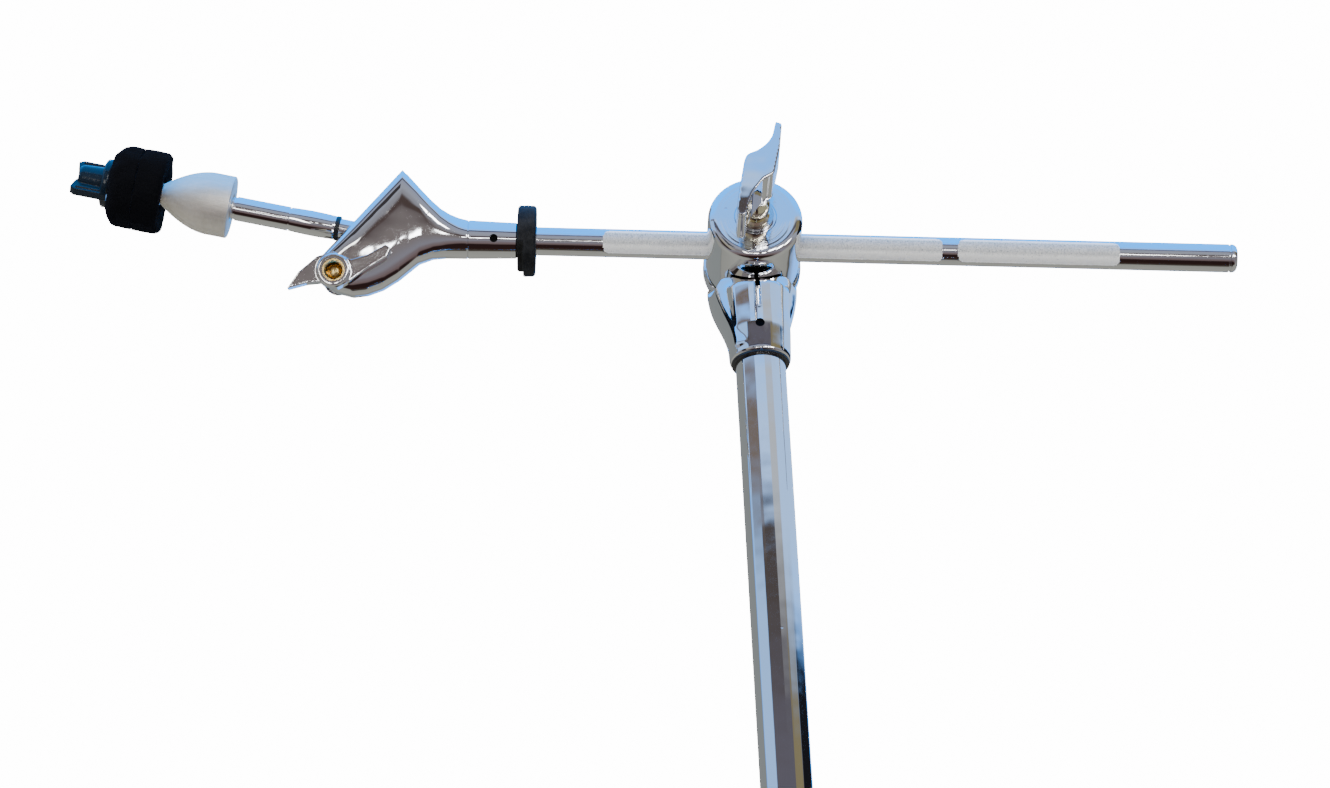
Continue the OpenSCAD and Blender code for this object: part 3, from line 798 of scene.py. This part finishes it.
# The knuckle's skin in millimetres: along the boom from the neck's end (u), and across it from its axis (v)
PIN_U = 36.6        # the post's pivot
KNUCKLE_TOP = [(0, 8.7), (4, 9.6), (8, 11.1), (12, 13.4), (16.5, 17.2), (21, 21.7), (29.4, 30.5),
               (65.6, -10.9), (67.2, -14.5), (67.4, -17.5)]
KNUCKLE_FOOT = [(0, -8.7), (9, -8.7), (15, -9.3), (21, -11.6), (29.9, -19.2), (36.6, -23.6), (43.3, -26.2),
                (50, -27.2), (57.5, -25.4), (62.8, -22.8), (66, -20.2), (67.4, -17.5)]
CHEEK_HALF = 10.0
BELLY = 0.7         # how far each cheek bulges beyond the CAD node's flat one
BELLY_MIDDLE = 33   # where it bulges most
SWELL_LEN = 26      # where the neck has grown into the cheeks
SQUARENESS = 1.9    # what the cheeks' section adds to a circle's power of 2
NOSE_LEN = 6
BOLT_U, BOLT_V = 57.5, -18
SCREW_U = -12
SLOT_HALF = 5.9
SLOT = [(27.5, -11), (27.5, 60), (90, 60), (90, -35.3)]
NECK_LEN = 22.3
NECK_R = 8.7


def between(points, at):
    """The height of a line of points at a station."""
    for (x0, y0), (x1, y1) in zip(points, points[1:]):
        if at <= x1:
            return y0 + (y1 - y0) * (at - x0) / (x1 - x0)
    return points[-1][1]


def make_knuckle():
    """The cast knuckle: a neck that swells into two cheeks round the post's slot."""
    count = 72
    rings = []
    neck = [(-NECK_LEN, NECK_R - 1.2), (-NECK_LEN + 0.5, NECK_R - 0.7), (-0.9, NECK_R - 0.05),
            (-0.55, NECK_R - 0.45), (-0.2, NECK_R - 0.05)]
    for u, r in neck:
        rings.append([(u - PIN_U, r * c, r * s) for c, s in unit_vectors(count)])
    last = KNUCKLE_TOP[-1][0]
    stations = [last * k / 90 for k in range(90)] + [29.4, last - 0.25, last - 0.05]
    for u in sorted(stations):
        top, foot = between(KNUCKLE_TOP, u), between(KNUCKLE_FOOT, u)
        middle, half_v = (top + foot) / 2, max((top - foot) / 2, 0.05)
        grown = smooth(min(max(u / SWELL_LEN, 0.0), 1.0))
        square = 2 + SQUARENESS * grown
        half_y = NECK_R + (CHEEK_HALF - NECK_R) * grown
        nose = math.sqrt(max(1 - max((u - last + NOSE_LEN) / NOSE_LEN, 0) ** 2, 0.02))
        half_y += BELLY * max(1 - ((u - BELLY_MIDDLE) / BELLY_MIDDLE) ** 2, 0)
        half_y *= nose
        ring = []
        for c, s in unit_vectors(count):
            y = squared_off(c, 2 / square) * half_y
            v = squared_off(s, 2 / square) * half_v
            ring.append((u - PIN_U, y, middle + v))
        rings.append(ring)
    body = temporary("knuckle_skin", *loft(rings))
    carve(body,
          prism([(u - PIN_U, v) for u, v in SLOT], -SLOT_HALF, SLOT_HALF),
          rod_solid((-NECK_LEN - PIN_U - 1, 0, 0), (-PIN_U - 2, 0, 0), ROD_R + 0.1),
          rod_solid((SCREW_U - PIN_U, 20, 0), (SCREW_U - PIN_U, ROD_R - 1, 0), 1.85, 40),
          rod_solid((BOLT_U - PIN_U, 30, BOLT_V), (BOLT_U - PIN_U, -30, BOLT_V), 3.6),
          rod_solid((0, -30, 0), (0, 8.4, 0), 4.02))
    settle(body, KNUCKLE, "cast_chrome", "boom", ["knuckle_body"], 32)


# The wing nut's outline from the front, in local X and Z
KNUCKLE_WING = [
    (20.3, -8.7), (15.4, -1.1), (7.5, 5.9), (0.4, 8.3), (-7.5, 4.8), (-14.5, 7.2), (-22.5, 11.9),
    (-24.9, 10.3), (-23.3, 6.3), (-14.5, 0.6), (-7.5, -4.7), (-1.8, -7.8), (3.1, -7.0), (5.7, -5.4),
    (11.9, -6.2),
]


def make_knuckle_wing_nut():
    """The knuckle's wing nut, its threaded bore and the bolt's brass end."""
    start, front = 10.1, 27.0
    grip = prism(KNUCKLE_WING, start + 6, front - 1.5)
    hub = rod_solid((0, start, 0), (0, front, 0), 7.0)
    bolt_frame = KNUCKLE.copy()
    bolt_frame.translation = KNUCKLE_BOLT
    nut = cast("knuckle_wing_nut_skin", [grip, hub], 0.34, 4, [
        rod_solid((0, start - 1, 0), (0, front + 1, 0), 3.56),
        rod_solid((0, start + 8, 0), (0, front + 1, 0), 5.0),
    ])
    settle(nut, bolt_frame, "cast_chrome", "knuckle_wing_nut", ["knuckle_wing_nut"], 40)
    core = [(start + 8.05, 3.7), (front - 1.6, 3.7), (front - 1.1, 4.2), (front - 1.1, 4.95),
            (start + 8.05, 4.95)]
    threads = 7
    wall = [core[0]]
    length = core[1][0] - core[0][0]
    for k in range(threads):
        at = core[0][0] + length * k / threads
        wall += [(at + 0.1, 3.9), (at + length / threads * 0.5, 4.45), (at + length / threads * 0.9, 3.9)]
    wall += core[1:]
    piece("knuckle_nut_thread", *turned(wall, 48, close=False), bolt_frame @ X_TO_Y, "brass",
          "knuckle_wing_nut")
    plug = [(20.1, 3.6), (20.5, 3.6), (20.9, 2.9), (21.0, 0.05)]
    piece("knuckle_nut_plug", *turned(plug, 48), bolt_frame @ X_TO_Y, "brass", "knuckle_wing_nut")


# The boom's wing nut from the front, in local X and Z
BOOM_WING = [
    (7.0, 23.9), (9.9, 23.3), (9.2, 12.6), (6.6, -2.6), (2.6, -4.6), (0.0, -8.3), (-2.4, -12.2),
    (-4.2, -17.5), (-5.4, -23.4), (-8.6, -23.9), (-9.4, -20), (-8.4, -10), (-6.5, 3.8), (-5.3, 7.0),
    (-0.6, 9.2), (3.2, 12.6), (5.6, 16.6),
]
BLADE_CURVE_FROM = 10   # the height in mm under which the blade's face falls back
BLADE_CURVE = 0.0008    # how fast it does: millimetres by the square of the drop


def make_boom_wing_nut():
    """The tall wing nut that locks the tilt: a blade on a thin hub, and a pale collar behind it."""
    front, depth, seat = -67.0, 21.0, -28.1
    grip = prism(fillet(BOOM_WING + BOOM_WING[:1], 1.2, 2)[:-1], front + 0.4, front + depth)
    hub = around_y([(front + 1, 6.0), (front + depth + 2, 5.8), (front + depth + 4, 5.2)], 64)
    nut = cast("boom_wing_nut_skin", [grip, hub], 0.36, 3, [
        rod_solid((0, -62.5, 0), (0, seat + 5, 0), 4.06),
    ])
    for vertex in nut.data.vertices:
        if vertex.co.y < front + 3:
            vertex.co.y += BLADE_CURVE * max(BLADE_CURVE_FROM - vertex.co.z, 0) ** 2
    settle(nut, BOOM, "cast_chrome", "boom_wing_nut", ["boom_wing_nut"], 40)
    collar = [(front + depth + 3, 4.06), (front + depth + 3, 5.1), (-40, 5.2), (-38.5, 5.9), (-33, 5.9),
              (-31.8, 5.2), (seat - 0.8, 5.2), (seat, 6.2), (seat, 4.06)]
    piece("boom_nut_collar", *turned(collar, 72, close=False), BOOM @ X_TO_Y, "pale_brass", "boom_wing_nut")


# ---------- Boom clamp ----------

SLEEVE_LOW, SLEEVE_TOP = -60.0, -24.6
DISC_FRONT, DISC_BACK, DISC_R = 15.5, 25.0, 22.0
WEB_TOP, WEB_LOW_R = -18, 13.6
WEB_RIGHT = 0.88    # the web's right half is slimmer than its left
CLAMP_SWING = math.radians(37.5)    # how far the rod tilts from level, either way
DRUM_R, DRUM_FRONT, DRUM_BACK = 21.0, -26.0, 14.0


def around_y(profile, count=96):
    """A temporary solid turned round Y from (y, radius) points."""
    rings = [[(r * c, y, r * s) for c, s in unit_vectors(count)] for y, r in profile]
    return temporary("turned_y", *loft(rings))


def around_z(profile):
    """A temporary solid turned round Z from (z, radius) points."""
    rings = [[(r * c, r * s, z) for c, s in unit_vectors(96)] for z, r in profile]
    return temporary("turned_z", *loft(rings))


def make_clamp_body():
    """The casting that holds the drum: a sleeve that flares back and up into a disc, a near-black disc on the
    sleeve's top as painted shade, and the ring.
    """
    sleeve = around_z([(SLEEVE_LOW, 13.0), (SLEEVE_LOW + 0.8, 13.6), (-46, 14.2), (SLEEVE_TOP, 14.4)])
    disc = around_y([(DISC_FRONT, DISC_R), (DISC_BACK - 3, DISC_R), (DISC_BACK, DISC_R - 3)])
    steps = 12
    rings = []
    for k in range(steps + 1):
        t = k / steps
        ease = smooth(t)
        z = SLEEVE_LOW + 4 + (WEB_TOP - SLEEVE_LOW - 4) * t
        half_x = WEB_LOW_R + (DISC_R - 0.6 - WEB_LOW_R) * ease
        back = WEB_LOW_R + (DISC_BACK - 1.5 - WEB_LOW_R) * min(ease * 1.25, 1)
        front = -13.2 + 6 * ease
        middle, half_y = (back + front) / 2, (back - front) / 2
        rings.append([(
            half_x * squared_off(c, 0.8) * (WEB_RIGHT if c > 0 else 1),
            middle + half_y * squared_off(s, 0.8),
            z,
        ) for c, s in unit_vectors(72)])
    web = temporary("web", *loft(rings))
    body = cast("boom_clamp_skin", [sleeve, disc, web], 0.62, 8, [
        rod_solid((0, -40, 0), (0, DISC_FRONT, 0), DRUM_R + 0.8, 128),
        rod_solid((0, -40, 0), (0, 40, 0), 10.06),
        rod_solid((0, 0, SLEEVE_LOW - 2), (0, 0, SLEEVE_TOP - 2), 11.12, 96),
        box_solid((-1.1, -20, -38), (1.1, 0, -18)),
        rod_solid((0, -20, -47), (0, -10, -47), 2.02),
        *[rod_solid((-90 * c, 0, -90 * s), (90 * c, 0, 90 * s), ROD_R + 0.6)
          for c, s in ((math.cos(a), math.sin(a)) for a in (-CLAMP_SWING, CLAMP_SWING))],
    ])
    settle(body, CLAMP, "cast_chrome", "top_tube", ["boom_clamp_body"], 34)
    # A near-black disc over the sleeve's top: painted shade for the sleeve's dark open inside, which the
    # drum's underside mirrors
    shade_disc = [(SLEEVE_TOP - 0.3, 0.05), (SLEEVE_TOP - 0.3, 12.4), (SLEEVE_TOP + 0.3, 12.4),
           (SLEEVE_TOP + 0.6, 11.9), (SLEEVE_TOP + 0.6, 0.05)]
    piece("sleeve_top_shade_disc", *turned(shade_disc, 72, close=False), CLAMP @ X_TO_Z, "black_steel", "top_tube")
    ring = [(SLEEVE_LOW - 0.95, 11.2), (SLEEVE_LOW - 0.95, 12.5), (SLEEVE_LOW - 0.7, 12.8),
            (SLEEVE_LOW + 0.2, 12.8), (SLEEVE_LOW + 0.2, 11.2)]
    piece("tube_ring_skin", *turned(ring, 96, close=False), CLAMP @ X_TO_Z, "nylon", "top_tube",
          ["tube_ring"])


def make_drum():
    """The friction drum, turned and plated, drilled across for the rod and along for the stud."""
    edge = 3.9
    curve = [(DRUM_FRONT + edge * (1 - math.sin(a)), DRUM_R - edge * (1 - math.cos(a)))
             for a in map(math.radians, range(0, 91, 10))]
    profile = [(DRUM_BACK, DRUM_R - 0.6), (DRUM_BACK - 0.6, DRUM_R), *curve, (DRUM_FRONT, 9.5),
               (DRUM_FRONT + 0.35, 9.0), (DRUM_FRONT + 0.35, 4.2)]
    drum = around_y(profile, 128)
    carve(drum,
          rod_solid((-30, 0, 0), (30, 0, 0), ROD_R + 0.06),
          rod_solid((0, -12, 0), (0, DRUM_BACK + 1, 0), 10.02),
          rod_solid((0, -30, 0), (0, 0, 0), 4.03))
    settle(drum, BOOM, "drum_chrome", "tilt_drum", ["tilt_drum"], 30)


# ---------- Stop ring ----------

def make_stop_ring():
    """A moulded rubber ring, thicker over its upper part, with soft edges and a parting line."""
    low, high, radius = -105.25, -96.8, 15.9
    ring = temporary("ring", *turned([(low, radius - 1.1), (low + 0.9, radius), (-101.5, radius),
                                      (-101.0, radius + 0.3), (-100.5, radius), (high - 0.9, radius),
                                      (high, radius - 1.1)], 96))
    carve(ring, box_solid((low - 2, -30, -30), (low + 2.9, 30, -8)))
    bore = rod_solid((low - 5, 0, 0), (high + 5, 0, 0), ROD_R + 0.06)
    body = cast("stop_ring_skin", [ring], 0.36, 7, [bore])
    settle(body, BOOM, "rubber", "stop_ring", ["stop_ring"], 60)


# ---------- Cymbal end ----------

# Along the post from its pivot: the cone's face, where it starts to narrow and its tip
SEAT_START, SEAT_ROUND, SEAT_TIP, SEAT_R, SEAT_TIP_R = 69.6, 79.0, 101.6, 14.0, 4.6
FELT_START, FELT_MID, FELT_END, FELT_R = 99.4, 112.0, 124.5, 18.0


def make_seat():
    """The brushed cone: a flat face with a broken edge, a barrel and a blunt nose, on a short collar."""
    profile = [(SEAT_START + 0.6, 3.95), (SEAT_START + 0.6, 5.9), (SEAT_START, 6.4),
               (SEAT_START, SEAT_R - 0.7), (SEAT_START + 0.35, SEAT_R - 0.15), (SEAT_START + 0.9, SEAT_R)]
    steps = 26
    for k in range(steps + 1):
        t = k / steps
        x = SEAT_ROUND + (SEAT_TIP - 0.5 - SEAT_ROUND) * t
        profile.append((x, SEAT_TIP_R + (SEAT_R - SEAT_TIP_R) * (1 - t ** 1.8)))
    profile += [(SEAT_TIP - 0.1, SEAT_TIP_R - 0.3), (SEAT_TIP - 0.05, 3.95)]
    piece("cymbal_seat_skin", *turned(profile, 96, close=False), POST, "brushed", "cymbal_post",
          ["cymbal_seat"], 40)
    low, high, inner, outer = SEAT_START - 2.05, SEAT_START + 1.4, 4.1, 4.98
    collar = [(low, inner), (low, outer), (high, outer), (high, inner)]
    piece("seat_collar", *turned(collar, 72, close=False), POST, "rod_chrome", "cymbal_post")


def roughen(obj, seed, fuzz, lump):
    """Push a felt's points in and out by a fixed noise: a fine fuzz over slow lumps."""
    shift = Vector((seed, seed * 1.7, -seed))
    moved = []
    for vertex in obj.data.vertices:
        at = vertex.co + shift
        amount = lump * space_noise.noise(at * 0.16) + fuzz * space_noise.noise(at * 1.4)
        moved.append(vertex.co + vertex.normal * amount)
    for vertex, place in zip(obj.data.vertices, moved):
        vertex.co = place


def make_felt(name, profile, soft, seed, node):
    """A pressed wool disc from its section and how round each corner is, hidden from mirror rays."""
    loop = fillet(profile[-1:] + profile + profile[:1], soft, 7)[1:-1]
    felt = temporary(name, *turned(loop, 120, close=False))
    add_modifier(felt, "SUBSURF", levels=1, render_levels=1)
    apply_modifiers(felt)
    roughen(felt, seed, 0.2, 0.7)
    settle(felt, POST, "felt", "cymbal_post", [node], 180)
    felt.visible_glossy = False


def make_felts():
    """The two felts, pressed flat where they meet."""
    bore = 5.6
    make_felt("lower_felt_pad", [
        (FELT_START + 3.4, bore), (FELT_START + 1.9, 7.4), (FELT_START + 0.9, 12.0),
        (FELT_START + 0.3, FELT_R + 0.2), (FELT_MID - 0.1, FELT_R + 0.3), (FELT_MID - 0.1, bore),
    ], [0.4, 1, 1, 3.2, 0.3, 0.4], 3.0, "lower_felt")
    make_felt("upper_felt_pad", [
        (FELT_MID + 0.1, bore), (FELT_MID + 0.1, FELT_R + 0.25), (FELT_END - 3.6, FELT_R - 0.1),
        (FELT_END - 0.4, FELT_R - 3.4), (FELT_END - 0.1, FELT_R - 9.5), (FELT_END - 0.1, bore),
    ], [0.4, 0.3, 2.6, 2.4, 2, 0.4], 11.0, "upper_felt")


def make_cymbal_nut():
    """The moulded nut: a flange, a hub and two ribbed wings."""
    face, end, half = FELT_END + 0.1, 141.5, 11.0
    flange = temporary("flange", *turned([(face, 10.4), (face + 0.5, 10.9), (face + 2.4, 10.9),
                                          (face + 3.2, 9.9)], 64))
    hub = temporary("hub", *turned([(face, 7), (end - 4, 6.2), (end - 2.6, 5.4)], 64))
    wing_outline = [(face, -half), (end - 2.5, -half), (end - 0.3, -half + 1.6), (end - 1.2, -5),
                    (end - 2.6, -2.2), (end - 2.6, 2.2), (end - 1.2, 5), (end - 0.3, half - 1.6),
                    (end - 2.5, half), (face, half)]
    wing = temporary("wing", *loft([[(x, y, z) for x, z in wing_outline] for y in (-1.9, 1.9)]))
    ribs = [box_solid((face + 2, side * 2.2 - 0.5, z - 0.55), (end - 2.8, side * 2.2 + 0.5, z + 0.55))
            for side in (-1, 1) for z in (-9.2, 9.2)]
    tilt = Matrix.Rotation(math.radians(47), 4, "X")
    for solid in [wing, *ribs]:
        solid.data.transform(tilt)
    nut = cast("cymbal_nut_skin", [flange, hub, wing, *ribs], 0.30, 3,
               [rod_solid((face - 1, 0, 0), (end + 1, 0, 0), 3.97)])
    settle(nut, POST, "gloss", "cymbal_nut", ["cymbal_nut"], 45)


def make_post_sleeve():
    """The thin chrome sleeve on the post, barrelled, with a groove where it meets the bar."""
    start, end = 22.4, 43.6
    steps = 16
    belly = [(start + 0.3 + (end - start - 0.9) * k / steps, 5.3 + 0.33 * math.sin(math.pi * k / steps))
             for k in range(steps + 1)]
    profile = [(start, 4.64), (start, 5.1), *belly, (end - 0.55, 4.75), (end, 4.75), (end, 4.64)]
    piece("post_sleeve_skin", *turned(profile, 72, close=False), POST, "chrome", "cymbal_post",
          ["post_sleeve"], 35)


# ---------- Putting it together ----------

MATERIALS = make_materials()
make_camera()
make_world()
make_lights()
make_floor()
dress_cad_nodes()
make_boom_rod()
make_knuckle()
make_knuckle_wing_nut()
make_boom_wing_nut()
make_clamp_body()
make_drum()
make_stop_ring()
make_seat()
make_felts()
make_cymbal_nut()
make_post_sleeve()
